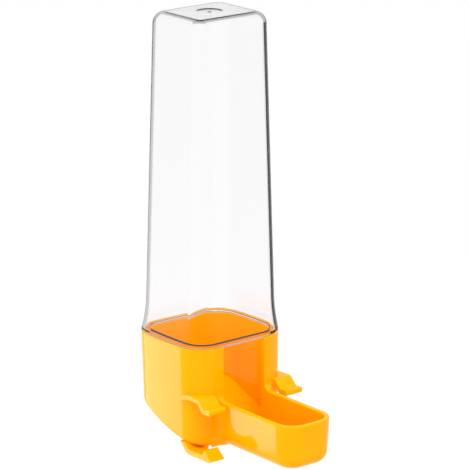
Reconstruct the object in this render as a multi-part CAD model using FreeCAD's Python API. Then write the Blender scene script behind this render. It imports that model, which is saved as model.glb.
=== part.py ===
"""Gravity waterer for a small bird cage: an upturned clear reservoir on a hooked cup with a drinking trough.

Frame: +Z up, +X along the cage wires, -Y through the wires into the cage. The origin is the centre
of the upper cage wire, midway between the two upper hooks. Everything is in millimetres.
"""
import FreeCAD
import Part
import math
import os

# Cage wires that the hooks are made for
WIRE_D = 2.0
WIRE_SPACING = 16.1
WIRE_GAP = 0.1

# Cup. Its walls all taper by the draft, and the whole cup leans by as much, so its front stands upright
CUP_WIDTH = 47.4
CUP_DEPTH = 43.1
CUP_CORNER_R = 11.3
CUP_WALL = 1.8
CUP_FLOOR = 1.8
SIDE_BOW = 1.5
BACK_BOW = 1.4
CUP_DRAFT_DEG = 1.0
RIM_ABOVE_WIRE = 23.1
FRONT_HEIGHT = 39.9
BACK_HEIGHT = 28.1
FLOOR_BACK_RUN = 5.5
FLOOR_FRONT_DEG = 6.5
FLOOR_BACK_DEG = 27.0
FLOOR_BEND_R = 90.0
BACK_BEND_R = 3.0
CUP_FOOT_R = 1.7

# Trough
TROUGH_WIDTH = 24.7
TROUGH_REACH = 42.4
TROUGH_WALL = 2.2
TROUGH_RIM_DROP = 21.6
TROUGH_CORNER_R = 8.8
TROUGH_DRAFT_DEG = 3.0
TROUGH_ROOT_R = 2.3
TROUGH_SWEEP_R = 3.0
TROUGH_FOOT_R = 5.0
TROUGH_RIM_R = 0.7

# Upper hooks
UPPER_HOOK_WIDTH = 8.3
HOOK_THICKNESS = 2.1
HOOK_SIDE_INSET = 0.35
HOOK_RAMP_DEG = 45.0
HOOK_HEADROOM = 1.8
HOOK_TAIL = 11.5
TAIL_DROOP = 1.8
TAIL_BEND_R = 5.0
LIP_REACH = 6.7
LIP_DROP = 0.5
LIP_SWELL = 0.5
HOOK_BEND_R = 1.2
HOOK_EDGE = 0.2

# Lower hooks
LOWER_HOOK_WIDTH = 6.8
TONGUE_THICKNESS = 2.3
TONGUE_SLOPE_DEG = 46.0
TONGUE_RUN = 6.7
TONGUE_BEND_R = 4.0
BARB_HEIGHT = 2.4
BARB_GAP = 1.0
BARB_BACK_LEAN = 1.1
BARB_RAMP_RUN = 4.6
BARB_EDGE_R = 0.3
NOSE_HEIGHT = 0.9
NOSE_UNDERCUT = 2.0
WEB_THICKNESS = 1.6

# Reservoir
TUBE_TOP_WIDTH = 36.4
TUBE_TOP_DEPTH = 31.7
TUBE_SEAT_WIDTH = 42.2
TUBE_SEAT_DEPTH = 36.7
TUBE_HEIGHT = 127.6
TUBE_WALL = 1.2
TUBE_CORNER_R = 5.9
TUBE_TOP_R = 4.6
TUBE_FORWARD = 0.45
FLARE_HEIGHT = 13.5
FLARE_SECTIONS = 5
FLANGE_BAND = 0.9
SKIRT_FIT = 0.4
SKIRT_CLEARANCE = 0.3
DIMPLE_R = 5.0
DIMPLE_DEPTH = 0.35
GATE_MARK_R = 0.9
GATE_MARK_HEIGHT = 0.25

# Overlap that makes a cut or a joint run cleanly through a face
OVERRUN = 1.0

# Places worked out from the sizes above
WIRE_R = WIRE_D / 2
FRONT_Y = WIRE_R + WIRE_GAP
BACK_Y = FRONT_Y + CUP_DEPTH
TUBE_Y = FRONT_Y + CUP_DEPTH / 2 - TUBE_FORWARD
RIM_Z = RIM_ABOVE_WIRE
TOP_Z = RIM_Z + TUBE_HEIGHT
CUP_FOOT_Z = RIM_Z - FRONT_HEIGHT
BACK_FOOT_Z = RIM_Z - BACK_HEIGHT
SKIRT_FOOT_Z = BACK_FOOT_Z + CUP_FLOOR + SKIRT_CLEARANCE
BAND_TOP_Z = RIM_Z + FLANGE_BAND
FLARE_TOP_Z = BAND_TOP_Z + FLARE_HEIGHT
TROUGH_RIM_Z = RIM_Z - TROUGH_RIM_DROP
TROUGH_TIP_Y = FRONT_Y - TROUGH_REACH
HOOK_OUTER_X = CUP_WIDTH / 2 - HOOK_SIDE_INSET
CUP_DRAFT = math.tan(math.radians(CUP_DRAFT_DEG))
TROUGH_DRAFT = math.tan(math.radians(TROUGH_DRAFT_DEG))


def arc(start, middle, end):
    """Arc edge through three points."""
    return Part.Arc(start, middle, end).toShape()


def rounded_wire(corners, place):
    """Closed wire through corners (a, b, radius), each rounded by its radius.

    place turns a pair (a, b) into a point, so the same call draws in plan or in side view.
    """
    points = [FreeCAD.Vector(a, b, 0) for a, b, radius in corners]
    count = len(points)
    bends = []
    for index, corner in enumerate(points):
        before = (points[index - 1] - corner).normalize()
        after = (points[(index + 1) % count] - corner).normalize()
        half = before.getAngle(after) / 2
        radius = corners[index][2]
        reach = radius / math.tan(half)
        inward = (before + after).normalize() * (radius / math.sin(half) - radius)
        bends.append([corner + before * reach, corner + inward, corner + after * reach])
    edges = []
    for index, bend in enumerate(bends):
        start, middle, end = (place(point.x, point.y) for point in bend)
        following = place(bends[(index + 1) % count][0].x, bends[(index + 1) % count][0].y)
        if corners[index][2] > 0:
            edges.append(arc(start, middle, end))
        edges.append(Part.makeLine(end, following))
    return Part.Wire(edges)


def plan_wire(corners, z):
    """Closed plan outline at a height, through corners (x, y, radius)."""
    return rounded_wire(corners, lambda x, y: FreeCAD.Vector(x, y, z))


def side_prism(corners, x_low, x_high):
    """Solid whose side view has corners (y, z, radius), from x_low to x_high."""
    wire = rounded_wire(corners, lambda y, z: FreeCAD.Vector(x_low, y, z))
    return Part.Face(wire).extrude(FreeCAD.Vector(x_high - x_low, 0, 0))


def straight_loft(lower, upper):
    """Solid with straight walls between two outlines."""
    return Part.makeLoft([lower, upper], True, True)


def bow_radius(chord, bow):
    """Radius of an arc that rises by bow over a chord."""
    return chord * chord / (8 * bow) + bow / 2


def outline(z, width, front_y, back_y, corner_r, side_bow, back_bow, inset=0.0):
    """Rounded square in plan with a flat front and bowed sides and back, tangent at every corner.

    A positive inset gives the parallel line that far inside.
    """
    middle_y = (front_y + back_y) / 2
    side_r = bow_radius(back_y - front_y, side_bow)
    back_r = bow_radius(width, back_bow)
    side_x = width / 2 - side_r
    back_centre_y = back_y - back_r
    front_corner_y = front_y + corner_r
    front_corner_x = side_x + math.sqrt((side_r - corner_r) ** 2 - (front_corner_y - middle_y) ** 2)
    # The back corner's centre lies on two circles: side_r - corner_r about the side's centre
    # and back_r - corner_r about the back's centre.
    centre_gap = math.hypot(side_x, middle_y - back_centre_y)
    across = side_x / centre_gap
    along = (middle_y - back_centre_y) / centre_gap
    foot = ((back_r - corner_r) ** 2 - (side_r - corner_r) ** 2 + centre_gap ** 2) / (2 * centre_gap)
    offset = math.sqrt((back_r - corner_r) ** 2 - foot ** 2)
    back_corner_x = foot * across + offset * along
    back_corner_y = back_centre_y + foot * along - offset * across
    front_turn = math.atan2(front_corner_y - middle_y, front_corner_x - side_x)
    side_turn = math.atan2(back_corner_y - middle_y, back_corner_x - side_x)
    back_turn = math.atan2(back_corner_y - back_centre_y, back_corner_x)

    def on_circle(centre_x, centre_y, radius, angle):
        x = centre_x + (radius - inset) * math.cos(angle)
        y = centre_y + (radius - inset) * math.sin(angle)
        return FreeCAD.Vector(x, y, z)

    front_end = FreeCAD.Vector(front_corner_x, front_y + inset, z)
    front_middle = on_circle(front_corner_x, front_corner_y, corner_r, (front_turn - math.pi / 2) / 2)
    side_start = on_circle(side_x, middle_y, side_r, front_turn)
    side_middle = on_circle(side_x, middle_y, side_r, (front_turn + side_turn) / 2)
    side_end = on_circle(side_x, middle_y, side_r, side_turn)
    back_middle = on_circle(back_corner_x, back_corner_y, corner_r, (side_turn + back_turn) / 2)
    back_end = on_circle(0, back_centre_y, back_r, back_turn)
    right = [
        (front_end, front_middle, side_start),
        (side_start, side_middle, side_end),
        (side_end, back_middle, back_end),
    ]

    def mirrored(point):
        return FreeCAD.Vector(-point.x, point.y, point.z)

    edges = [Part.makeLine(mirrored(front_end), front_end)]
    edges += [arc(*points) for points in right]
    edges.append(arc(back_end, FreeCAD.Vector(0, back_y - inset, z), mirrored(back_end)))
    edges += [arc(mirrored(end), mirrored(middle), mirrored(start)) for start, middle, end in reversed(right)]
    return Part.Wire(edges)


def rim_outline(z, inset=0.0):
    """The cup's rim in plan, drawn at a height, or a parallel line inside it."""
    return outline(z, CUP_WIDTH, FRONT_Y, BACK_Y, CUP_CORNER_R, SIDE_BOW, BACK_BOW, inset)


def cup_walls(inset):
    """Tapering block with the cup's walls, higher and deeper than the cup, its front upright."""
    low_z = CUP_FOOT_Z - 2 * OVERRUN
    high_z = RIM_Z + 2 * OVERRUN
    lower = rim_outline(low_z, inset + (RIM_Z - low_z) * CUP_DRAFT)
    upper = rim_outline(high_z, inset + (RIM_Z - high_z) * CUP_DRAFT)
    walls = straight_loft(lower, upper)
    walls.rotate(FreeCAD.Vector(0, FRONT_Y, RIM_Z), FreeCAD.Vector(1, 0, 0), -CUP_DRAFT_DEG)
    return walls


def floor_view(lift):
    """Side view of the cup below its rim, or of its hollow when lift is the floor's thickness."""
    front_z = CUP_FOOT_Z + lift
    back_z = BACK_FOOT_Z + lift
    front_slope = math.tan(math.radians(FLOOR_FRONT_DEG))
    back_slope = math.tan(math.radians(FLOOR_BACK_DEG))
    run = CUP_DEPTH - FLOOR_BACK_RUN
    # Where the gentle front slope and the steep back slope would meet, seen from the front
    bend_run = (run * back_slope - (back_z - front_z)) / (back_slope - front_slope)
    return [
        (FRONT_Y - OVERRUN, front_z - OVERRUN * front_slope, 0),
        (FRONT_Y + bend_run, front_z + bend_run * front_slope, FLOOR_BEND_R),
        (FRONT_Y + run, back_z, BACK_BEND_R),
        (BACK_Y + OVERRUN, back_z, 0),
        (BACK_Y + OVERRUN, RIM_Z + lift, 0),
        (FRONT_Y - OVERRUN, RIM_Z + lift, 0),
    ]


def cup_block():
    """Outside of the cup, solid, with a rounded foot."""
    block = cup_walls(0).common(side_prism(floor_view(0), -CUP_WIDTH, CUP_WIDTH))
    foot = [edge for edge in block.Edges if on_floor(edge)]
    return block.makeFillet(CUP_FOOT_R, foot)


def on_floor(edge):
    """Whether an edge of the cup's block goes round its floor, and isn't a line across it or up its walls."""
    box = edge.BoundBox
    across = box.XLength > CUP_WIDTH / 2 and box.YLength < OVERRUN and box.Center.y > FRONT_Y + OVERRUN
    at_back = box.YMax > BACK_Y - CUP_DEPTH / 4
    return box.ZMax < BACK_FOOT_Z + OVERRUN / 10 and (not across or at_back and box.YLength > OVERRUN / 10)


def trough_nose(lean):
    """Corners (x, y, radius) of the trough's rounded tip in plan, a distance inside its rim."""
    half = TROUGH_WIDTH / 2 - lean
    return [(x, TROUGH_TIP_Y + lean, TROUGH_CORNER_R - lean) for x in (half, -half)]


def trough_wire(lean, z):
    """The trough in plan at a height, a distance inside its rim, reaching back through the cup's front wall."""
    nose = trough_nose(lean)
    half = nose[0][0]
    back_y = FRONT_Y + CUP_WALL + OVERRUN
    return plan_wire([(half, back_y, 0)] + nose + [(-half, back_y, 0)], z)


def trough_shell():
    """Open trough with a rounded foot, its sides flaring and its rim sweeping up into the cup's face."""
    root_y = FRONT_Y + WIRE_GAP
    low_z = CUP_FOOT_Z
    # The sweep's top lies between the cup's face and the plate's, where its surface isn't upright yet
    high_z = TROUGH_RIM_Z + TROUGH_SWEEP_R
    high_z -= math.sqrt(TROUGH_SWEEP_R ** 2 - (TROUGH_SWEEP_R - WIRE_GAP / 2) ** 2)
    lower = trough_wire((TROUGH_RIM_Z - low_z) * TROUGH_DRAFT, low_z)
    upper = trough_wire((TROUGH_RIM_Z - high_z) * TROUGH_DRAFT, high_z)
    block = straight_loft(lower, upper)
    foot = [edge for edge in block.Edges if edge.BoundBox.ZMax < low_z + OVERRUN / 10 and edge.BoundBox.YMin < root_y]
    block = block.makeFillet(TROUGH_FOOT_R, foot)
    # A plate in place of the cup's front wall, so the root can be rounded before the two are joined
    wide = TROUGH_WIDTH / 2 + 2 * TROUGH_ROOT_R
    below = 2 * TROUGH_ROOT_R
    corner = FreeCAD.Vector(-wide, root_y, low_z - below)
    block = block.fuse(Part.makeBox(2 * wide, CUP_WALL, high_z - low_z + below, corner))
    root = [edge for edge in block.Edges if at_trough_root(edge, root_y)]
    block = block.makeFillet(TROUGH_ROOT_R, root)
    block = block.common(side_prism(trough_view(root_y), OVERRUN - wide, wide - OVERRUN))
    shell = block.cut(trough_hollow())
    rim = [edge for edge in shell.Edges if on_trough_rim(edge)]
    return shell.makeFillet(TROUGH_RIM_R, rim)


def at_trough_root(edge, root_y):
    """Whether an edge lies where the trough's outside meets the plate at its root."""
    box = edge.BoundBox
    on_plate = abs(box.YMin - root_y) < OVERRUN / 100 and abs(box.YMax - root_y) < OVERRUN / 100
    beside_trough = abs(box.Center.x) < TROUGH_WIDTH / 2 + TROUGH_ROOT_R / 2
    on_top = box.ZMin > TROUGH_RIM_Z
    return on_plate and beside_trough and not on_top and box.ZMin > CUP_FOOT_Z - OVERRUN / 10


def trough_view(root_y):
    """Side view of the trough and its root, with the sweep from the level rim up to the cup's face."""
    back_y = FRONT_Y + CUP_WALL - OVERRUN / 2
    sweep_top = TROUGH_RIM_Z + TROUGH_SWEEP_R + OVERRUN
    tip = TROUGH_TIP_Y - OVERRUN
    return [
        (back_y, CUP_FOOT_Z + CUP_FLOOR, 0),
        (back_y, sweep_top, 0),
        (root_y, sweep_top, 0),
        (root_y, TROUGH_RIM_Z, TROUGH_SWEEP_R),
        (tip, TROUGH_RIM_Z, 0),
        (tip, CUP_FOOT_Z, 0),
        (FRONT_Y, CUP_FOOT_Z, 0),
    ]


def on_trough_rim(edge):
    """Whether an edge runs along the trough's rim, up its sweep included, and not across the rim."""
    box = edge.BoundBox
    across = box.YLength < OVERRUN / 10 and box.Center.y > TROUGH_TIP_Y + TROUGH_CORNER_R
    return box.ZMin > TROUGH_RIM_Z - OVERRUN / 10 and box.YMin < FRONT_Y - OVERRUN / 10 and not across


def trough_hollow():
    """Space inside the trough, which goes on up as the window in the cup's front wall."""
    floor_z = CUP_FOOT_Z + CUP_FLOOR
    hollow = Part.Face(trough_wire(TROUGH_WALL, floor_z)).extrude(FreeCAD.Vector(0, 0, RIM_Z + OVERRUN - floor_z))
    foot = [
        edge for edge in hollow.Edges
        if edge.BoundBox.ZMax < floor_z + OVERRUN / 10 and edge.BoundBox.YMin < FRONT_Y
    ]
    return hollow.makeFillet(TROUGH_FOOT_R - CUP_FLOOR, foot)


def bevelled_ends(solid, x_low, x_high, size):
    """Break the edges of a prism's two end faces."""
    edges = [
        edge for edge in solid.Edges
        if edge.BoundBox.XLength < OVERRUN / 100
        and min(abs(edge.BoundBox.Center.x - x_low), abs(edge.BoundBox.Center.x - x_high)) < OVERRUN / 100
    ]
    return solid.makeChamfer(size, edges)


def upper_hook():
    """Left upper hook: a plate from the cup's corner, a ramp that rests on the wire and a lip."""
    ramp = math.radians(HOOK_RAMP_DEG)
    under_z = WIRE_R + HOOK_HEADROOM
    top_z = under_z + HOOK_THICKNESS
    lip_z = -LIP_DROP
    seat = WIRE_R + WIRE_GAP

    def ramp_y(z, distance):
        """Ramp line at a distance from the wire's centre."""
        return (z * math.cos(ramp) - distance) / math.sin(ramp)

    tail_y = FRONT_Y + HOOK_TAIL
    arch_y = tail_y - TAIL_BEND_R
    corners = [
        (tail_y, under_z - TAIL_DROOP, 0),
        (tail_y, top_z - TAIL_DROOP, 0),
        (arch_y, top_z, TAIL_BEND_R),
        (ramp_y(top_z, seat + HOOK_THICKNESS), top_z, HOOK_BEND_R + HOOK_THICKNESS / 2),
        (ramp_y(lip_z + HOOK_THICKNESS, seat + HOOK_THICKNESS), lip_z + HOOK_THICKNESS, HOOK_BEND_R),
        (-LIP_REACH, lip_z + HOOK_THICKNESS + LIP_SWELL, HOOK_THICKNESS / 2),
        (-LIP_REACH, lip_z, HOOK_THICKNESS / 2),
        (ramp_y(lip_z, seat), lip_z, HOOK_BEND_R),
        (ramp_y(under_z, seat), under_z, HOOK_BEND_R),
        (arch_y, under_z, TAIL_BEND_R),
    ]
    low_x = -HOOK_OUTER_X
    high_x = low_x + UPPER_HOOK_WIDTH
    return bevelled_ends(side_prism(corners, low_x, high_x), low_x, high_x, HOOK_EDGE)


def lower_hook():
    """Left lower hook: a tongue that dips under the cup to clip the lower wire, and a web beside it."""
    slope = math.tan(math.radians(TONGUE_SLOPE_DEG))
    wire_z = -WIRE_SPACING
    top_z = wire_z - WIRE_R - WIRE_GAP
    under_z = top_z - TONGUE_THICKNESS
    ridge_z = top_z + BARB_HEIGHT
    barb_y = -WIRE_R - BARB_GAP
    ridge_y = barb_y - BARB_BACK_LEAN
    nose_y = ridge_y - BARB_RAMP_RUN
    under_y = FRONT_Y + TONGUE_RUN
    inside_z = CUP_FOOT_Z + CUP_FLOOR / 2 + TONGUE_RUN * math.tan(math.radians(FLOOR_FRONT_DEG))
    slant = TONGUE_THICKNESS / math.sin(math.atan(slope))
    slot_y = under_y + TONGUE_THICKNESS / slope - slant
    buried_y = under_y + (inside_z - under_z) / slope
    corners = [
        (nose_y + NOSE_UNDERCUT, under_z, NOSE_HEIGHT),
        (under_y, under_z, TONGUE_BEND_R),
        (buried_y, inside_z, 0),
        (buried_y - slant, inside_z, 0),
        (slot_y, top_z, HOOK_BEND_R),
        (barb_y, top_z, BARB_EDGE_R),
        (ridge_y, ridge_z, BARB_EDGE_R),
        (nose_y, under_z + NOSE_HEIGHT, BARB_EDGE_R),
    ]
    low_x = -HOOK_OUTER_X
    high_x = low_x + LOWER_HOOK_WIDTH
    tongue = bevelled_ends(side_prism(corners, low_x, high_x), low_x, high_x, HOOK_EDGE)
    web_view = [
        (FRONT_Y + CUP_FOOT_R, inside_z, 0),
        (buried_y - slant / 2, inside_z, 0),
        (under_y, under_z + TONGUE_THICKNESS / 2, 0),
        (FRONT_Y + CUP_FOOT_R + TONGUE_THICKNESS / 2, under_z + TONGUE_THICKNESS / 2, 0),
    ]
    web = side_prism(web_view, high_x - WEB_THICKNESS / 2, high_x + WEB_THICKNESS / 2)
    return tongue.fuse(web)


def hooked_cup():
    """Orange cup with its trough, front window and four hooks, moulded as one piece."""
    left_hooks = upper_hook().fuse(lower_hook())
    right_hooks = left_hooks.mirror(FreeCAD.Vector(0, 0, 0), FreeCAD.Vector(1, 0, 0))
    cup = cup_block().fuse([trough_shell(), left_hooks, right_hooks])
    hollow = cup_walls(CUP_WALL).common(side_prism(floor_view(CUP_FLOOR), -CUP_WIDTH, CUP_WIDTH))
    return cup.cut(hollow).cut(trough_hollow()).removeSplitter()


def tube_block(inset, low_z, high_z):
    """Tapering block with the tube's four flat walls and rounded corners, from one height to another."""

    def rectangle(z):
        rise = (z - RIM_Z) / TUBE_HEIGHT
        half_x = (TUBE_SEAT_WIDTH + (TUBE_TOP_WIDTH - TUBE_SEAT_WIDTH) * rise) / 2 - inset
        half_y = (TUBE_SEAT_DEPTH + (TUBE_TOP_DEPTH - TUBE_SEAT_DEPTH) * rise) / 2 - inset
        corners = [(-half_x, -half_y), (half_x, -half_y), (half_x, half_y), (-half_x, half_y)]
        return [FreeCAD.Vector(x, TUBE_Y + y, z) for x, y in corners]

    lower = rectangle(low_z)
    upper = rectangle(high_z)
    loops = [lower[::-1], upper]
    loops += [[lower[n - 1], lower[n], upper[n], upper[n - 1]] for n in range(len(lower))]
    block = Part.Solid(Part.Shell([Part.Face(Part.makePolygon(loop + loop[:1])) for loop in loops]))
    upright = [edge for edge in block.Edges if edge.BoundBox.ZLength > OVERRUN]
    return block.makeFillet(TUBE_CORNER_R - inset, upright)


def round_top(block, radius, top_z):
    """Round the edges of a block's flat top, which lies at top_z."""
    return block.makeFillet(radius, [edge for edge in block.Edges if edge.BoundBox.ZMin > top_z - OVERRUN / 10])


def foot_wire(block):
    """Outline of a block's flat underside."""
    return min(block.Faces, key=lambda face: face.CenterOfMass.z).OuterWire


def flare(tube):
    """Flange that sweeps out from the foot of the tube to the cup's rim."""

    def section(step):
        spread = (1 - step / FLARE_SECTIONS) ** 2
        z = BAND_TOP_Z + FLARE_HEIGHT * step / FLARE_SECTIONS
        rise = (z - RIM_Z) / TUBE_HEIGHT
        width = TUBE_SEAT_WIDTH + (TUBE_TOP_WIDTH - TUBE_SEAT_WIDTH) * rise
        depth = TUBE_SEAT_DEPTH + (TUBE_TOP_DEPTH - TUBE_SEAT_DEPTH) * rise

        def blend(tube_size, rim_size):
            return tube_size + (rim_size - tube_size) * spread

        return outline(
            z,
            blend(width, CUP_WIDTH),
            blend(TUBE_Y - depth / 2, FRONT_Y),
            blend(TUBE_Y + depth / 2, BACK_Y),
            blend(TUBE_CORNER_R, CUP_CORNER_R),
            SIDE_BOW * spread,
            BACK_BOW * spread,
        )

    sections = [section(step) for step in range(FLARE_SECTIONS)]
    return Part.makeLoft(sections + [foot_wire(tube)], True, False)


def reservoir():
    """Clear tapered tube, closed at the top, with a flared flange on the cup's rim and a skirt in the cup."""
    tube = tube_block(0, FLARE_TOP_Z, TOP_Z)
    band = straight_loft(rim_outline(RIM_Z), rim_outline(BAND_TOP_Z))
    skirt_inset = CUP_WALL + SKIRT_FIT
    skirt = skirt_block(skirt_inset, SKIRT_FOOT_Z)
    outside = round_top(tube, TUBE_TOP_R, TOP_Z).fuse([flare(tube), band, skirt])

    roof_z = TOP_Z - TUBE_WALL
    tube_hollow = tube_block(TUBE_WALL, FLARE_TOP_Z, roof_z)
    mouth = skirt_block(skirt_inset + TUBE_WALL, SKIRT_FOOT_Z - OVERRUN)
    mouth_top = max(mouth.Faces, key=lambda face: face.CenterOfMass.z).OuterWire
    throat = straight_loft(mouth_top, foot_wire(tube_hollow))
    hollow = round_top(tube_hollow, TUBE_TOP_R - TUBE_WALL, roof_z).fuse([throat, mouth])
    shell = outside.cut(hollow)

    dimple_foot = FreeCAD.Vector(0, TUBE_Y, TOP_Z - DIMPLE_DEPTH)
    shell = shell.cut(Part.makeCylinder(DIMPLE_R, DIMPLE_DEPTH + OVERRUN, dimple_foot))
    shell = shell.fuse(Part.makeCylinder(GATE_MARK_R, GATE_MARK_HEIGHT, dimple_foot))
    return shell.removeSplitter()


def skirt_block(inset, low_z):
    """Block that stands in the cup up to its rim, an inset inside the cup's walls as they are at the skirt's foot."""
    drop = RIM_Z - SKIRT_FOOT_Z
    narrowing = inset + drop * CUP_DRAFT
    lean = drop * CUP_DRAFT
    block = straight_loft(rim_outline(low_z, narrowing), rim_outline(RIM_Z, narrowing))
    block.translate(FreeCAD.Vector(0, -lean, 0))
    return block


def main():
    os.makedirs("parts", exist_ok=True)
    for name, piece in (("hooked_cup", hooked_cup()), ("reservoir", reservoir())):
        solid = piece.Solids[0]
        solid.exportStep(os.path.join("parts", name + ".step"))
        print(name, solid.isValid(), len(piece.Solids), "solids", len(solid.Faces), "faces", round(solid.Volume), "mm3")


main()
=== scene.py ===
"""Dresses a hook-on waterer for a bird cage: moulded orange cup, clear reservoir and white studio."""

import math

import bmesh
import bpy
from mathutils import Euler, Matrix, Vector


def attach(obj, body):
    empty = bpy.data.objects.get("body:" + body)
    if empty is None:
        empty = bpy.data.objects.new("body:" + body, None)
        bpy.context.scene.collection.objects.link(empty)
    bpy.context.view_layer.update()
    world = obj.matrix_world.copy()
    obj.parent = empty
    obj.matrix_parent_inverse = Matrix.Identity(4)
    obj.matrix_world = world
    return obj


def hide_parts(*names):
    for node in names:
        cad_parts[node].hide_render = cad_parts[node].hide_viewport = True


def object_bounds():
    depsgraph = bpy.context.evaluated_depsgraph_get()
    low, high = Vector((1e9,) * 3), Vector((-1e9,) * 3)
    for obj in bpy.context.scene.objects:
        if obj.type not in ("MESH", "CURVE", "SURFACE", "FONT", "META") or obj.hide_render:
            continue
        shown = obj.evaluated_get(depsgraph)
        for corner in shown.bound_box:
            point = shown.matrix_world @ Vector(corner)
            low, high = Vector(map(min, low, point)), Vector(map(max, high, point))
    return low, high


bl_info = {
    "name": "Bird cage waterer",
    "version": (1, 0, 0),
    "blender": (4, 5, 0),
    "location": "3D View > Sidebar > Waterer",
    "description": "Dresses a hook-on cage waterer: glossy orange cup, clear reservoir and a white studio",
    "category": "Object",
}

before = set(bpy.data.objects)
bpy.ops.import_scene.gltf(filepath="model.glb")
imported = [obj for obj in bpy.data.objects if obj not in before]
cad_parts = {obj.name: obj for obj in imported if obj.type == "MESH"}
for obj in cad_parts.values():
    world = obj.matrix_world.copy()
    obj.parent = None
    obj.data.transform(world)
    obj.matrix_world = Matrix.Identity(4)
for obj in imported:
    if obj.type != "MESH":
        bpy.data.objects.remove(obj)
CAD_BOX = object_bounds()
LOW_CORNER = Vector(CAD_BOX[0])
HIGH_CORNER = Vector(CAD_BOX[1])
MIDDLE = (LOW_CORNER + HIGH_CORNER) / 2

MM = 0.001
WHITE = (1, 1, 1, 1)

# Names of the two mouldings, and the bodies and slots that they belong to
CUP_NODE = "hooked_cup"
RESERVOIR_NODE = "reservoir"
CUP_BODY = "cup"
RESERVOIR_BODY = "lifted_reservoir"
ORANGE_SLOT = "orange_plastic"
CLEAR_SLOT = "clear_plastic"

# Names of the two dressed pieces
CUP_PIECE = "cup_moulding"
RESERVOIR_PIECE = "reservoir_moulding"

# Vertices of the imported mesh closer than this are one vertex
WELD = 0.001 * MM

# Edges of the mouldings sharper than this stay crisp
CREASE = math.radians(32)

# The reservoir in millimetres, as the CAD has it: the cup's rim in plan, which the flange covers
RIM_WIDTH = 47.4
RIM_FRONT_Y = 1.1
RIM_BACK_Y = 44.2
RIM_CORNER_R = 11.3
RIM_SIDE_BOW = 1.5
RIM_BACK_BOW = 1.4

# A straight side or back is an arc with this bow, so that its radius stays finite
LEAST_BOW = 0.001

# Heights of the skirt's foot, the rim, the top of the flange's edge, the flare's top and the closed top
SKIRT_FOOT_Z = -2.9
RIM_Z = 23.1
BAND_TOP_Z = 24.0
FLARE_TOP_Z = 37.5
TOP_Z = 150.7

# The tapered tube: its width and depth at the rim's height and at its top, and its middle
SEAT_WIDTH = 42.2
SEAT_DEPTH = 36.7
TOP_WIDTH = 36.4
TOP_DEPTH = 31.7
TUBE_CORNER_R = 5.9
TUBE_Y = 22.2

# The flare stands out from the tube by this power of the share of its height that is left
FLARE_POWER = 2

# The skirt lies this far inside the rim, and this much nearer the front, because the cup's walls taper
SKIRT_INSET = 2.654
SKIRT_SHIFT = 0.454

# Height of the ledge inside, from the skirt out to the flare's thin wall, where the CAD's throat is straight
LEDGE_Z = 24.2

# Points along the front line, a front corner, a side, a back corner and the back in each half of an outline
OUTLINE_STEPS = (6, 16, 14, 16, 8)

# Spread of red, green and blue light in the orange plastic, as shares of the glow depth, and its refraction
GLOW_SPREAD = (1.0, 0.45, 0.1)
ORANGE_BENDING = 1.5

# Patterns in the plastics, with their scale in cells to a metre
FLOW_PATTERN = {"Scale": 28.0, "Detail": 2.0, "Roughness": 0.45}
SKIN_PATTERN = {"Scale": 900.0, "Detail": 3.0}
ORANGE_WAVE_PATTERN = {"Scale": 90.0, "Detail": 1.0}
CLEAR_WAVE_PATTERN = {"Scale": 60.0, "Detail": 1.0}

# Values of the flow pattern where the flow colour sets in and where it is fullest, and its share there
FLOW_START = 0.4
FLOW_END = 0.75
FLOW_SHARE = 0.35

# The skin's roughness lies between these shares of the set roughness
SKIN_GLOSSIEST = 0.7
SKIN_DULLEST = 1.4

# Waves in the orange surface, and in the clear wall, where they are drawn out along the tube
ORANGE_WAVES = {"Strength": 0.25, "Distance": 0.03 * MM}
CLEAR_WAVE_STRENGTH = 0.3
CLEAR_WAVE_STRETCH = (1.0, 1.0, 0.15)

# Numbers of the Mix node's colour sockets, whose names its other sockets share
FIRST_COLOUR = 6
SECOND_COLOUR = 7
MIXED_COLOUR = 2

# Places and sizes of the softboxes in metres
KEY_PLACE = Vector((-0.85, 0.15, 0.40))
KEY_SIZE = (0.5, 0.5)
TOP_PLACE = Vector((-0.25, -0.5, 0.9))
TOP_SIZE = (0.6, 0.6)
LOW_PLACE = Vector((-0.258, 0.429, -0.14))
LOW_SIZE = (0.29, 0.19)

# Between these two places along X, in metres, the floor's left brightness turns into its right one
LEFT_SIDE_X = 0.3
RIGHT_SIDE_X = 0.8

# How pale the floor is to the light that it throws back on the part
FLOOR_PALENESS = 0.85

# A ray's depths are whole numbers, so one above this is at least 1
NO_DEPTH = 0.5


class CupSettings(bpy.types.PropertyGroup):
    """Finish of the orange moulding."""
    colour: bpy.props.FloatVectorProperty(
        name="Plastic", description="Colour of the orange plastic", subtype="COLOR",
        size=3, min=0, max=1, default=(1.0, 0.43, 0.0))
    flow_colour: bpy.props.FloatVectorProperty(
        name="Flow lines", description="Colour where the plastic ran a little richer in the mould",
        subtype="COLOR", size=3, min=0, max=1, default=(1.0, 0.385, 0.0))
    gloss: bpy.props.FloatProperty(
        name="Roughness", description="Roughness of the moulded surface", min=0, max=1, default=0.08)
    shine: bpy.props.FloatProperty(
        name="Shine", description="Strength of the mirror reflection", min=0, max=1, default=0.08)
    glow: bpy.props.FloatProperty(
        name="Glow", description="Share of light that spreads inside the plastic",
        min=0, max=1, default=0.25)
    glow_depth: bpy.props.FloatProperty(
        name="Glow depth", description="How far light spreads inside the plastic", unit="LENGTH",
        min=0, default=1.5 * MM)
    crease: bpy.props.FloatProperty(
        name="Crease angle", description="Edges sharper than this stay crisp", subtype="ANGLE",
        min=0, max=math.pi, default=CREASE)


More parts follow.
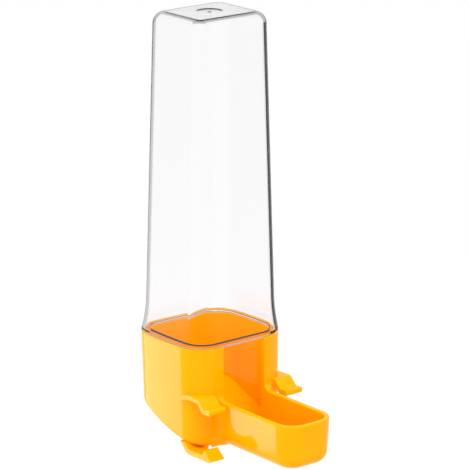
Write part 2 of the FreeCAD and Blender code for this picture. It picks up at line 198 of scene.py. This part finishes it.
class ReservoirSettings(bpy.types.PropertyGroup):
    """Sizes and finish of the clear moulding."""
    wall: bpy.props.FloatProperty(
        name="Wall", description="Thickness of the reservoir's wall", unit="LENGTH",
        min=0.3 * MM, max=3 * MM, default=1.2 * MM)
    top_radius: bpy.props.FloatProperty(
        name="Top rounding", description="Radius of the rounded edge round the closed top", unit="LENGTH",
        min=2 * MM, max=5.5 * MM, default=4.6 * MM)
    dimple_radius: bpy.props.FloatProperty(
        name="Dimple", description="Radius of the shallow dimple on top", unit="LENGTH",
        min=MM, max=8 * MM, default=5.0 * MM)
    dimple_depth: bpy.props.FloatProperty(
        name="Dimple depth", description="Depth of the dimple", unit="LENGTH",
        min=0, max=MM, default=0.35 * MM)
    gate_radius: bpy.props.FloatProperty(
        name="Gate mark", description="Radius of the raised mark that the mould leaves in the dimple",
        unit="LENGTH", min=0.2 * MM, max=2 * MM, default=0.9 * MM)
    gate_height: bpy.props.FloatProperty(
        name="Gate mark height", description="Height of the mould's mark", unit="LENGTH",
        min=0, max=0.35 * MM, default=0.25 * MM)
    steps: bpy.props.IntProperty(
        name="Steps", description="Rings in each stretch of the wall: flare, tube and rounded top",
        min=2, max=40, default=20)
    tint: bpy.props.FloatVectorProperty(
        name="Tint", description="Colour that one wall leaves in the light", subtype="COLOR",
        size=3, min=0, max=1, default=(0.985, 0.985, 0.99))
    gloss: bpy.props.FloatProperty(
        name="Roughness", description="Roughness of the polished surface", min=0, max=1, default=0.01)
    bending: bpy.props.FloatProperty(
        name="Refraction", description="Refractive index of clear polystyrene", min=1, max=2, default=1.58)
    front_shine: bpy.props.FloatProperty(
        name="Front shine", description="Strength of the reflection where the wall is seen straight on",
        min=0, max=1, default=0.05)
    waviness: bpy.props.FloatProperty(
        name="Waviness", description="Height of the slight waves in the moulded wall", unit="LENGTH",
        min=0, default=0.02 * MM)
    crease: bpy.props.FloatProperty(
        name="Crease angle", description="Edges sharper than this stay crisp", subtype="ANGLE",
        min=0, max=math.pi, default=CREASE)


class StudioSettings(bpy.types.PropertyGroup):
    """White studio round the part."""
    floor_drop: bpy.props.FloatProperty(
        name="Floor below the part", description="Room between the part's lowest point and the floor",
        unit="LENGTH", min=0, default=0.3)
    floor_size: bpy.props.FloatProperty(
        name="Floor size", description="Length of each side of the floor", unit="LENGTH",
        min=0.5, default=8.0)
    floor_share: bpy.props.FloatProperty(
        name="Floor colour", description="Share of the floor's white that comes from the light on it",
        min=0, max=1, default=0.4)
    floor_glow: bpy.props.FloatProperty(
        name="Floor glow", description="Share of the floor's white that doesn't dim in shadow",
        min=0, max=1, default=0.65)
    sky_level: bpy.props.FloatProperty(
        name="Room light", description="Light from all round on the part, where 1 is white",
        min=0, default=0.85)
    upper_reflection: bpy.props.FloatProperty(
        name="Upper reflection", description="Brightness of the room in reflections in the clear wall",
        min=0, max=1, default=0.5)
    left_reflection: bpy.props.FloatProperty(
        name="Left reflection",
        description="Brightness of the floor's left side in reflections in the clear wall",
        min=0, max=1, default=0.6)
    right_reflection: bpy.props.FloatProperty(
        name="Right reflection",
        description="Brightness of the floor's right side in reflections in the clear wall",
        min=0, max=1, default=0.04)
    key_power: bpy.props.FloatProperty(
        name="Key light", description="Power of the softbox at the left", unit="POWER",
        min=0, default=1.2)
    top_power: bpy.props.FloatProperty(
        name="Top light", description="Power of the softbox above the front", unit="POWER",
        min=0, default=6.5)
    low_power: bpy.props.FloatProperty(
        name="Low light", description="Power of the low softbox behind at the left", unit="POWER",
        min=0, default=1.1)
    camera_place: bpy.props.FloatVectorProperty(
        name="Camera place", description="Where the camera stands", subtype="TRANSLATION", unit="LENGTH",
        size=3, default=(-0.66881, -0.82365, 0.36928))
    camera_turn: bpy.props.FloatProperty(
        name="Camera turn", description="Camera's turn about the vertical", subtype="ANGLE",
        default=math.radians(-38.85))
    camera_dip: bpy.props.FloatProperty(
        name="Camera dip", description="How far the camera looks down", subtype="ANGLE",
        default=math.radians(15.92))
    camera_lens: bpy.props.FloatProperty(
        name="Lens", description="Focal length on a 36 mm sensor", subtype="DISTANCE_CAMERA",
        min=10, default=220.2)


def shade(build, crease):
    """Smooth shading on a mesh in the making, but for its creases."""
    for face in build.faces:
        face.smooth = True
    for edge in build.edges:
        edge.smooth = len(edge.link_faces) == 2 and edge.calc_face_angle() < crease


def finished(piece):
    """The piece with its modifiers turned into plain mesh."""
    evaluated = piece.evaluated_get(bpy.context.evaluated_depsgraph_get())
    mesh = bpy.data.meshes.new_from_object(evaluated)
    piece.modifiers.clear()
    piece.data = mesh
    return piece


def smooth_copy(node, name, crease):
    """Welded copy of a packed moulding, shaded smooth but for its creases."""
    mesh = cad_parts[node].data.copy()
    mesh.name = name
    mesh.materials.clear()
    copy = bmesh.new()
    copy.from_mesh(mesh)
    bmesh.ops.remove_doubles(copy, verts=copy.verts, dist=WELD)
    bmesh.ops.recalc_face_normals(copy, faces=copy.faces)
    shade(copy, crease)
    copy.to_mesh(mesh)
    copy.free()
    piece = bpy.data.objects.new(name, mesh)
    bpy.context.scene.collection.objects.link(piece)
    even = piece.modifiers.new("Even shading", "WEIGHTED_NORMAL")
    even.keep_sharp = True
    return finished(piece)


def on_circle(centre_x, centre_y, radius, start, end, steps):
    """Points of an arc in plan, its first point left out."""
    turns = [start + (end - start) * step / steps for step in range(1, steps + 1)]
    return [(centre_x + radius * math.cos(turn), centre_y + radius * math.sin(turn)) for turn in turns]


def outline(width, front_y, back_y, corner_r, side_bow, back_bow, inset):
    """Points in plan of a rounded square with a flat front, bowed sides and back, and tangent corners."""
    middle_y = (front_y + back_y) / 2
    side_bow = max(side_bow, LEAST_BOW)
    back_bow = max(back_bow, LEAST_BOW)
    side_r = (back_y - front_y) ** 2 / (8 * side_bow) + side_bow / 2
    back_r = width ** 2 / (8 * back_bow) + back_bow / 2
    side_x = width / 2 - side_r
    back_centre_y = back_y - back_r
    front_corner_y = front_y + corner_r
    front_corner_x = side_x + math.sqrt((side_r - corner_r) ** 2 - (front_corner_y - middle_y) ** 2)
    # The back corner's centre lies on two circles, about the side's centre and about the back's centre
    gap = math.hypot(side_x, middle_y - back_centre_y)
    across = side_x / gap
    along = (middle_y - back_centre_y) / gap
    foot = ((back_r - corner_r) ** 2 - (side_r - corner_r) ** 2 + gap ** 2) / (2 * gap)
    offset = math.sqrt((back_r - corner_r) ** 2 - foot ** 2)
    back_corner_x = foot * across + offset * along
    back_corner_y = back_centre_y + foot * along - offset * across
    front_turn = math.atan2(front_corner_y - middle_y, front_corner_x - side_x)
    side_turn = math.atan2(back_corner_y - middle_y, back_corner_x - side_x)
    back_turn = math.atan2(back_corner_y - back_centre_y, back_corner_x)
    line, front_corner, side, back_corner, back = OUTLINE_STEPS
    small_r = corner_r - inset
    half = [(front_corner_x * step / line, front_y + inset) for step in range(line + 1)]
    half += on_circle(front_corner_x, front_corner_y, small_r, -math.pi / 2, front_turn, front_corner)
    half += on_circle(side_x, middle_y, side_r - inset, front_turn, side_turn, side)
    half += on_circle(back_corner_x, back_corner_y, small_r, side_turn, back_turn, back_corner)
    half += on_circle(0, back_centre_y, back_r - inset, back_turn, math.pi / 2, back)
    return half + [(-x, y) for x, y in half[-2:0:-1]]


def rim_ring(z, inset, shift):
    """Ring at a height, parallel to the cup's rim and shifted to the front."""
    plan = outline(RIM_WIDTH, RIM_FRONT_Y, RIM_BACK_Y, RIM_CORNER_R, RIM_SIDE_BOW, RIM_BACK_BOW, inset)
    return [(x, y - shift, z) for x, y in plan]


def tube_ring(z, inset, spread=0.0):
    """Ring of the tapered tube, or of the flare, whose spread goes from 0 at the tube to 1 at the rim."""
    rise = (z - RIM_Z) / (TOP_Z - RIM_Z)
    width = SEAT_WIDTH + (TOP_WIDTH - SEAT_WIDTH) * rise
    depth = SEAT_DEPTH + (TOP_DEPTH - SEAT_DEPTH) * rise

    def blend(tube_size, rim_size):
        return tube_size + (rim_size - tube_size) * spread

    plan = outline(
        blend(width, RIM_WIDTH),
        blend(TUBE_Y - depth / 2, RIM_FRONT_Y),
        blend(TUBE_Y + depth / 2, RIM_BACK_Y),
        blend(TUBE_CORNER_R, RIM_CORNER_R),
        RIM_SIDE_BOW * spread,
        RIM_BACK_BOW * spread,
        inset)
    return [(x, y, z) for x, y in plan]


def round_ring(like, radius, z):
    """Circle about the tube's middle, with its points in the same directions as another ring's."""
    turns = [math.atan2(y - TUBE_Y, x) for x, y, _ in like]
    return [(radius * math.cos(turn), TUBE_Y + radius * math.sin(turn), z) for turn in turns]


def tube_and_top(inset, low_z, roof_z, radius, steps):
    """Rings from a height up the tube's wall and over its rounded edge on to the closed top."""
    shoulder_z = roof_z - radius
    rings = [tube_ring(low_z + (shoulder_z - low_z) * step / steps, inset) for step in range(steps + 1)]
    for step in range(1, steps + 1):
        turn = math.pi / 2 * step / steps
        rings.append(tube_ring(shoulder_z + radius * math.sin(turn), inset + radius * (1 - math.cos(turn))))
    return rings


def reservoir_rings(settings):
    """Rings of the outside from the skirt's foot to the gate mark, and of the inside from foot to roof."""
    wall = settings.wall / MM
    top_radius = settings.top_radius / MM
    steps = settings.steps
    outside = [rim_ring(z, SKIRT_INSET, SKIRT_SHIFT) for z in (SKIRT_FOOT_Z, RIM_Z)]
    outside.append(rim_ring(RIM_Z, 0, 0))
    for step in range(steps):
        rise = step / steps
        z = BAND_TOP_Z + (FLARE_TOP_Z - BAND_TOP_Z) * rise
        outside.append(tube_ring(z, 0, (1 - rise) ** FLARE_POWER))
    outside += tube_and_top(0, FLARE_TOP_Z, TOP_Z, top_radius, steps)
    dimple_r = settings.dimple_radius / MM
    dimple_z = TOP_Z - settings.dimple_depth / MM
    gate_r = settings.gate_radius / MM
    gate_z = dimple_z + settings.gate_height / MM
    edge = outside[-1]
    for radius, z in ((dimple_r, TOP_Z), (dimple_r, dimple_z), (gate_r, dimple_z), (gate_r, gate_z)):
        outside.append(round_ring(edge, radius, z))
    # Above the ledge, the flare's wall is as thin as the tube's
    inside = [rim_ring(z, SKIRT_INSET + wall, SKIRT_SHIFT) for z in (SKIRT_FOOT_Z, LEDGE_Z)]
    for step in range(steps):
        z = LEDGE_Z + (FLARE_TOP_Z - LEDGE_Z) * step / steps
        left = (FLARE_TOP_Z - z) / (FLARE_TOP_Z - BAND_TOP_Z)
        inside.append(tube_ring(z, wall, left ** FLARE_POWER))
    inside += tube_and_top(wall, FLARE_TOP_Z, TOP_Z - wall, top_radius - wall, steps)
    return outside, inside


def reservoir_mesh(settings):
    """Closed wall of the reservoir, made of rings that run down its outside and up its inside."""
    outside, inside = reservoir_rings(settings)
    build = bmesh.new()
    rings = [
        [build.verts.new([value * MM for value in point]) for point in ring]
        for ring in outside[::-1] + inside
    ]
    for ring, following in zip(rings, rings[1:]):
        for corner in range(len(ring)):
            build.faces.new((ring[corner - 1], ring[corner], following[corner], following[corner - 1]))
    for ring in (rings[0], rings[-1]):
        middle = build.verts.new(sum((vert.co for vert in ring), Vector()) / len(ring))
        for corner in range(len(ring)):
            build.faces.new((ring[corner - 1], ring[corner], middle))
    bmesh.ops.recalc_face_normals(build, faces=build.faces)
    shade(build, settings.crease)
    mesh = bpy.data.meshes.new(RESERVOIR_PIECE)
    build.to_mesh(mesh)
    build.free()
    return mesh


class Nodes:
    """Node tree of a material or world, with short calls to add and join its nodes."""

    def __init__(self, owner, shader):
        owner.use_nodes = True
        self.tree = owner.node_tree
        self.shader = self.tree.nodes[shader]

    def add(self, kind, **values):
        """New node; a value sets its property of that name, or else its socket, with _ for a space."""
        node = self.tree.nodes.new(kind)
        for name, value in values.items():
            if hasattr(node, name):
                setattr(node, name, value)
            else:
                node.inputs[name.replace("_", " ")].default_value = value
        return node

    def join(self, source, target):
        """Link from an output to an input."""
        self.tree.links.new(source, target)

    def calculate(self, operation, first, second):
        """Result of a Math node on two values, each a number or another node's output."""
        node = self.tree.nodes.new("ShaderNodeMath")
        node.operation = operation
        for socket, value in zip(node.inputs, (first, second)):
            if isinstance(value, (int, float)):
                socket.default_value = value
            else:
                self.join(value, socket)
        return node.outputs["Value"]


def orange_material(settings):
    """Glossy orange plastic with faint flow lines, slow waves and a fine moulded skin."""
    material = bpy.data.materials.new(ORANGE_SLOT)
    nodes = Nodes(material, "Principled BSDF")
    shader = nodes.shader
    shader.inputs["Subsurface Weight"].default_value = settings.glow
    shader.inputs["Subsurface Radius"].default_value = GLOW_SPREAD
    shader.inputs["Subsurface Scale"].default_value = settings.glow_depth
    shader.inputs["IOR"].default_value = ORANGE_BENDING
    shader.inputs["Specular IOR Level"].default_value = settings.shine
    place = nodes.add("ShaderNodeTexCoord")
    flow = nodes.add("ShaderNodeTexNoise", **FLOW_PATTERN)
    nodes.join(place.outputs["Object"], flow.inputs["Vector"])
    blend = nodes.add("ShaderNodeMix", data_type="RGBA")
    blend.inputs[FIRST_COLOUR].default_value = (*settings.colour, 1)
    blend.inputs[SECOND_COLOUR].default_value = (*settings.flow_colour, 1)
    spread = nodes.add("ShaderNodeMapRange", From_Min=FLOW_START, From_Max=FLOW_END, To_Max=FLOW_SHARE)
    nodes.join(flow.outputs["Fac"], spread.inputs["Value"])
    nodes.join(spread.outputs["Result"], blend.inputs["Factor"])
    nodes.join(blend.outputs[MIXED_COLOUR], shader.inputs["Base Color"])
    skin = nodes.add("ShaderNodeTexNoise", **SKIN_PATTERN)
    nodes.join(place.outputs["Object"], skin.inputs["Vector"])
    dull = nodes.add(
        "ShaderNodeMapRange", To_Min=settings.gloss * SKIN_GLOSSIEST, To_Max=settings.gloss * SKIN_DULLEST)
    nodes.join(skin.outputs["Fac"], dull.inputs["Value"])
    nodes.join(dull.outputs["Result"], shader.inputs["Roughness"])
    waves = nodes.add("ShaderNodeTexNoise", **ORANGE_WAVE_PATTERN)
    nodes.join(place.outputs["Object"], waves.inputs["Vector"])
    bump = nodes.add("ShaderNodeBump", **ORANGE_WAVES)
    nodes.join(waves.outputs["Fac"], bump.inputs["Height"])
    nodes.join(bump.outputs["Normal"], shader.inputs["Normal"])
    return material


def clear_material(settings):
    """Clear polystyrene with slight waves from the mould."""
    material = bpy.data.materials.new(CLEAR_SLOT)
    nodes = Nodes(material, "Principled BSDF")
    shader = nodes.shader
    shader.inputs["Base Color"].default_value = (*settings.tint, 1)
    shader.inputs["Transmission Weight"].default_value = 1.0
    shader.inputs["Specular Tint"].default_value = (*[settings.front_shine] * 3, 1)
    shader.inputs["Roughness"].default_value = settings.gloss
    shader.inputs["IOR"].default_value = settings.bending
    place = nodes.add("ShaderNodeTexCoord")
    stretch = nodes.add("ShaderNodeMapping", Scale=CLEAR_WAVE_STRETCH)
    nodes.join(place.outputs["Object"], stretch.inputs["Vector"])
    waves = nodes.add("ShaderNodeTexNoise", **CLEAR_WAVE_PATTERN)
    nodes.join(stretch.outputs["Vector"], waves.inputs["Vector"])
    bump = nodes.add("ShaderNodeBump", Strength=CLEAR_WAVE_STRENGTH, Distance=settings.waviness)
    nodes.join(waves.outputs["Fac"], bump.inputs["Height"])
    nodes.join(bump.outputs["Normal"], shader.inputs["Normal"])
    return material


class WATERER_OT_hooked_cup(bpy.types.Operator):
    """Dress the orange cup with its trough and four hooks"""
    bl_idname = "waterer.hooked_cup"
    bl_label = "Hooked cup"

    def execute(self, context):
        settings = context.scene.waterer_cup
        cup = smooth_copy(CUP_NODE, CUP_PIECE, settings.crease)
        cup.data.materials.append(orange_material(settings))
        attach(cup, CUP_BODY)
        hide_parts(CUP_NODE)
        return {"FINISHED"}


class WATERER_OT_reservoir(bpy.types.Operator):
    """Dress the clear reservoir that stands upside down in the cup"""
    bl_idname = "waterer.reservoir"
    bl_label = "Reservoir"

    def execute(self, context):
        settings = context.scene.waterer_reservoir
        tube = bpy.data.objects.new(RESERVOIR_PIECE, reservoir_mesh(settings))
        context.scene.collection.objects.link(tube)
        tube.data.materials.append(clear_material(settings))
        # Shadow and diffuse rays miss the clear wall, so that the room's light reaches the cup undimmed
        tube.visible_shadow = False
        tube.visible_diffuse = False
        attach(tube, RESERVOIR_BODY)
        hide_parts(RESERVOIR_NODE)
        return {"FINISHED"}


def shown_share(nodes, inner_reflection):
    """Two outputs: 1 on rays that should see the white room, and how white it looks to them.

    The room looks darker to a ray that has passed into the clear wall and been reflected on its way.
    """
    path = nodes.add("ShaderNodeLightPath")
    seen = nodes.calculate("MAXIMUM", path.outputs["Is Camera Ray"], path.outputs["Is Glossy Ray"])
    seen = nodes.calculate("MAXIMUM", seen, path.outputs["Is Transmission Ray"])
    has_reflected = nodes.calculate("GREATER_THAN", path.outputs["Glossy Depth"], NO_DEPTH)
    has_entered = nodes.calculate("GREATER_THAN", path.outputs["Transmission Depth"], NO_DEPTH)
    inside = nodes.calculate("MULTIPLY", has_reflected, has_entered)
    loss = nodes.calculate("MULTIPLY", inside, nodes.calculate("SUBTRACT", 1, inner_reflection))
    return seen, nodes.calculate("MULTIPLY", seen, nodes.calculate("SUBTRACT", 1, loss))


def white_room(settings):
    """World that shows white behind the part and in its gloss, and lights it at the room's own level."""
    world = bpy.data.worlds.new("white_room")
    bpy.context.scene.world = world
    nodes = Nodes(world, "Background")
    nodes.shader.inputs["Color"].default_value = WHITE
    seen, shown = shown_share(nodes, settings.upper_reflection)
    lit = nodes.calculate("MULTIPLY", nodes.calculate("SUBTRACT", 1, seen), settings.sky_level)
    nodes.join(nodes.calculate("ADD", shown, lit), nodes.shader.inputs["Strength"])


def floor_material(settings):
    """Pale floor that shows white to the camera and in gloss, and keeps the part's shadow."""
    material = bpy.data.materials.new("floor")
    nodes = Nodes(material, "Principled BSDF")
    shader = nodes.shader
    shader.inputs["Roughness"].default_value = 1.0
    shader.inputs["Specular IOR Level"].default_value = 0.0
    place = nodes.add("ShaderNodeTexCoord")
    sides = nodes.add("ShaderNodeSeparateXYZ")
    nodes.join(place.outputs["Object"], sides.inputs["Vector"])
    side = nodes.add(
        "ShaderNodeMapRange", interpolation_type="SMOOTHSTEP", From_Min=LEFT_SIDE_X, From_Max=RIGHT_SIDE_X,
        To_Min=settings.left_reflection, To_Max=settings.right_reflection)
    nodes.join(sides.outputs["X"], side.inputs["Value"])
    seen, shown = shown_share(nodes, side.outputs["Result"])
    colour = nodes.calculate("MULTIPLY", shown, settings.floor_share)
    unseen = nodes.calculate("MULTIPLY", nodes.calculate("SUBTRACT", 1, seen), FLOOR_PALENESS)
    nodes.join(nodes.calculate("ADD", colour, unseen), shader.inputs["Base Color"])
    shader.inputs["Emission Color"].default_value = WHITE
    nodes.join(nodes.calculate("MULTIPLY", shown, settings.floor_glow), shader.inputs["Emission Strength"])
    return material


def white_floor(settings):
    """Square floor below the part."""
    mesh = bpy.data.meshes.new("floor")
    reach = settings.floor_size / 2
    height = LOW_CORNER.z - settings.floor_drop
    corners = [(-reach, -reach), (reach, -reach), (reach, reach), (-reach, reach)]
    mesh.from_pydata([(x, y, height) for x, y in corners], [], [(0, 1, 2, 3)])
    floor = bpy.data.objects.new("floor", mesh)
    bpy.context.scene.collection.objects.link(floor)
    mesh.materials.append(floor_material(settings))


def softbox(name, place, size, power):
    """Area lamp that faces the middle of the part."""
    lamp = bpy.data.lights.new(name, "AREA")
    lamp.shape = "RECTANGLE"
    lamp.size, lamp.size_y = size
    lamp.energy = power
    holder = bpy.data.objects.new(name, lamp)
    holder.location = place
    holder.rotation_euler = (MIDDLE - place).to_track_quat("-Z", "Y").to_euler()
    bpy.context.scene.collection.objects.link(holder)
    return holder


def softboxes(settings):
    """The three softboxes, of which the low one lights the cup alone and doesn't show in the clear wall."""
    softbox("key_softbox", KEY_PLACE, KEY_SIZE, settings.key_power)
    softbox("top_softbox", TOP_PLACE, TOP_SIZE, settings.top_power)
    low = softbox("low_softbox", LOW_PLACE, LOW_SIZE, settings.low_power)
    lit_by_low = bpy.data.collections.new("lit_by_low_softbox")
    lit_by_low.objects.link(bpy.data.objects[CUP_PIECE])
    low.light_linking.receiver_collection = lit_by_low


def studio_camera(settings):
    """Camera at the photograph's viewing angle."""
    camera_data = bpy.data.cameras.new("camera")
    camera_data.lens = settings.camera_lens
    camera = bpy.data.objects.new("camera", camera_data)
    camera.location = settings.camera_place
    camera.rotation_euler = Euler((math.pi / 2 - settings.camera_dip, 0, settings.camera_turn))
    bpy.context.scene.collection.objects.link(camera)
    bpy.context.scene.camera = camera


class WATERER_OT_studio(bpy.types.Operator):
    """Set up the floor, the lamps, the white room and the camera"""
    bl_idname = "waterer.studio"
    bl_label = "Studio"

    def execute(self, context):
        settings = context.scene.waterer_studio
        context.scene.view_settings.view_transform = "Standard"
        white_room(settings)
        white_floor(settings)
        softboxes(settings)
        studio_camera(settings)
        return {"FINISHED"}


class WATERER_PT_panel(bpy.types.Panel):
    """Sizes and finishes of the waterer, and the operators that dress it"""
    bl_idname = "WATERER_PT_panel"
    bl_label = "Bird cage waterer"
    bl_space_type = "VIEW_3D"
    bl_region_type = "UI"
    bl_category = "Waterer"

    def draw(self, context):
        scene = context.scene
        for title, settings, operator in (
            ("Cup", scene.waterer_cup, WATERER_OT_hooked_cup),
            ("Reservoir", scene.waterer_reservoir, WATERER_OT_reservoir),
            ("Studio", scene.waterer_studio, WATERER_OT_studio),
        ):
            box = self.layout.box()
            box.label(text=title)
            for name in settings.bl_rna.properties.keys():
                if name not in {"rna_type", "name"}:
                    box.prop(settings, name)
            box.operator(operator.bl_idname)


SETTINGS = {
    "waterer_cup": CupSettings,
    "waterer_reservoir": ReservoirSettings,
    "waterer_studio": StudioSettings,
}
OPERATORS = (WATERER_OT_hooked_cup, WATERER_OT_reservoir, WATERER_OT_studio)
CLASSES = (*SETTINGS.values(), *OPERATORS, WATERER_PT_panel)


def register():
    for entry in CLASSES:
        bpy.utils.register_class(entry)
    for name, settings in SETTINGS.items():
        setattr(bpy.types.Scene, name, bpy.props.PointerProperty(type=settings))


def unregister():
    for name in SETTINGS:
        delattr(bpy.types.Scene, name)
    for entry in reversed(CLASSES):
        bpy.utils.unregister_class(entry)


def main():
    register()
    bpy.ops.waterer.hooked_cup()
    bpy.ops.waterer.reservoir()
    bpy.ops.waterer.studio()


if __name__ == "__main__":
    main()
